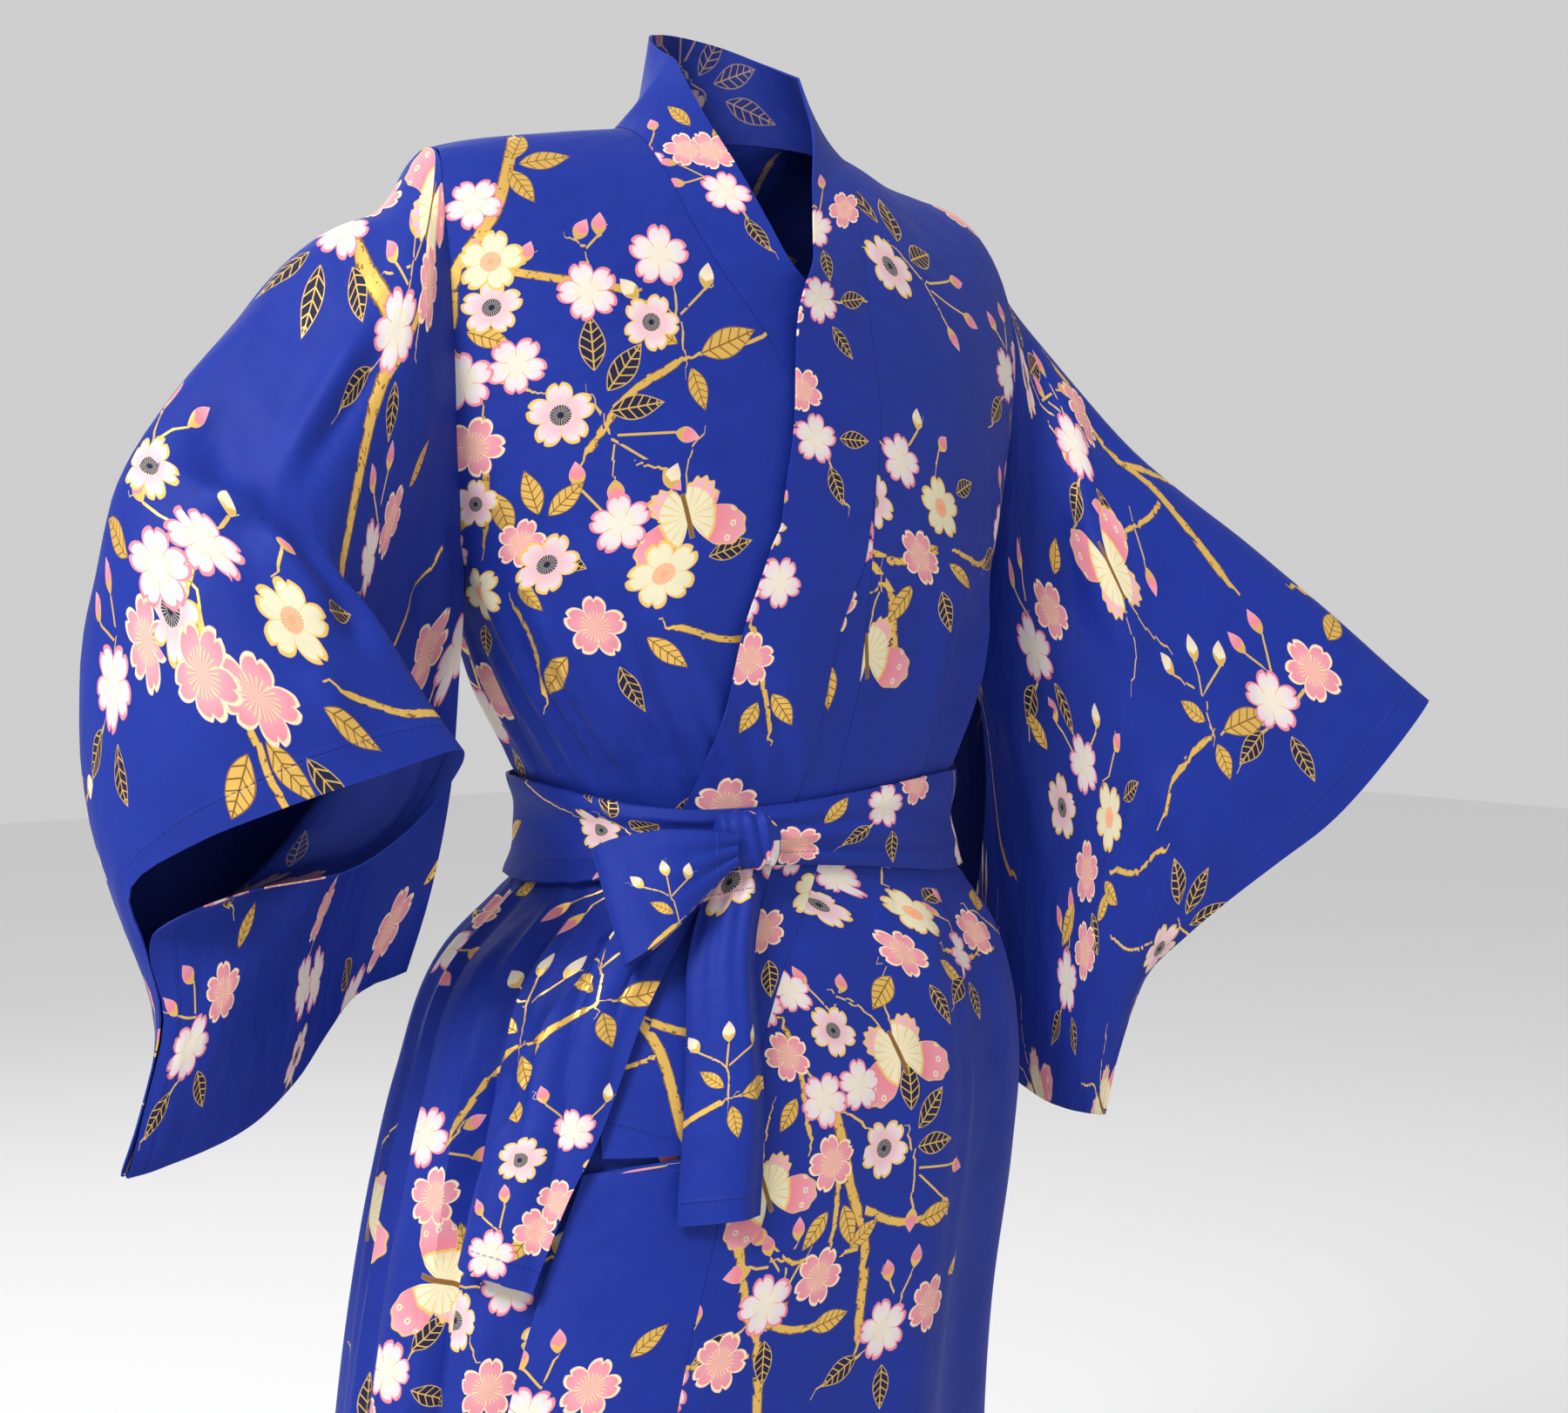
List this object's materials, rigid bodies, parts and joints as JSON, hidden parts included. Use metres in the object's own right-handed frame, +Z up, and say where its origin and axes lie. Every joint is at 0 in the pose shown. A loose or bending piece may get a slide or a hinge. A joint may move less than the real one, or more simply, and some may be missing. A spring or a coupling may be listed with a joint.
{
  "type": "kimono",
  "caption": "Printed kimono robe with wide sleeves, crossed fronts, neckband and its own narrow sash tied in a half bow, kept in its worn, hollow form.",
  "frame": {"origin": "middle of the neck's base, at the height where the neckband crosses the shoulders, where the wearer holds the robe up", "axes": "+Z up, -Y the way the front faces, +X towards the wearer's left"},
  "size_m": [0.8853, 0.3993, 1.3912],
  "materials": {
    "robe_cloth": "satin-faced printed cotton, blue ground with pink, cream and gold print",
    "sash_cloth": "the robe's printed cotton, folded double"
  },
  "bodies": {
    "root": {"body_left": "robe_cloth", "body_right": "robe_cloth", "okumi_left": "robe_cloth", "okumi_right": "robe_cloth", "collar": "robe_cloth", "sleeve_left": "robe_cloth", "sleeve_right": "robe_cloth", "belt_round": "sash_cloth", "belt_knot": "sash_cloth", "belt_loop": "sash_cloth", "belt_tail_long": "sash_cloth", "belt_tail_side": "sash_cloth"}
  },
  "joints": []
}
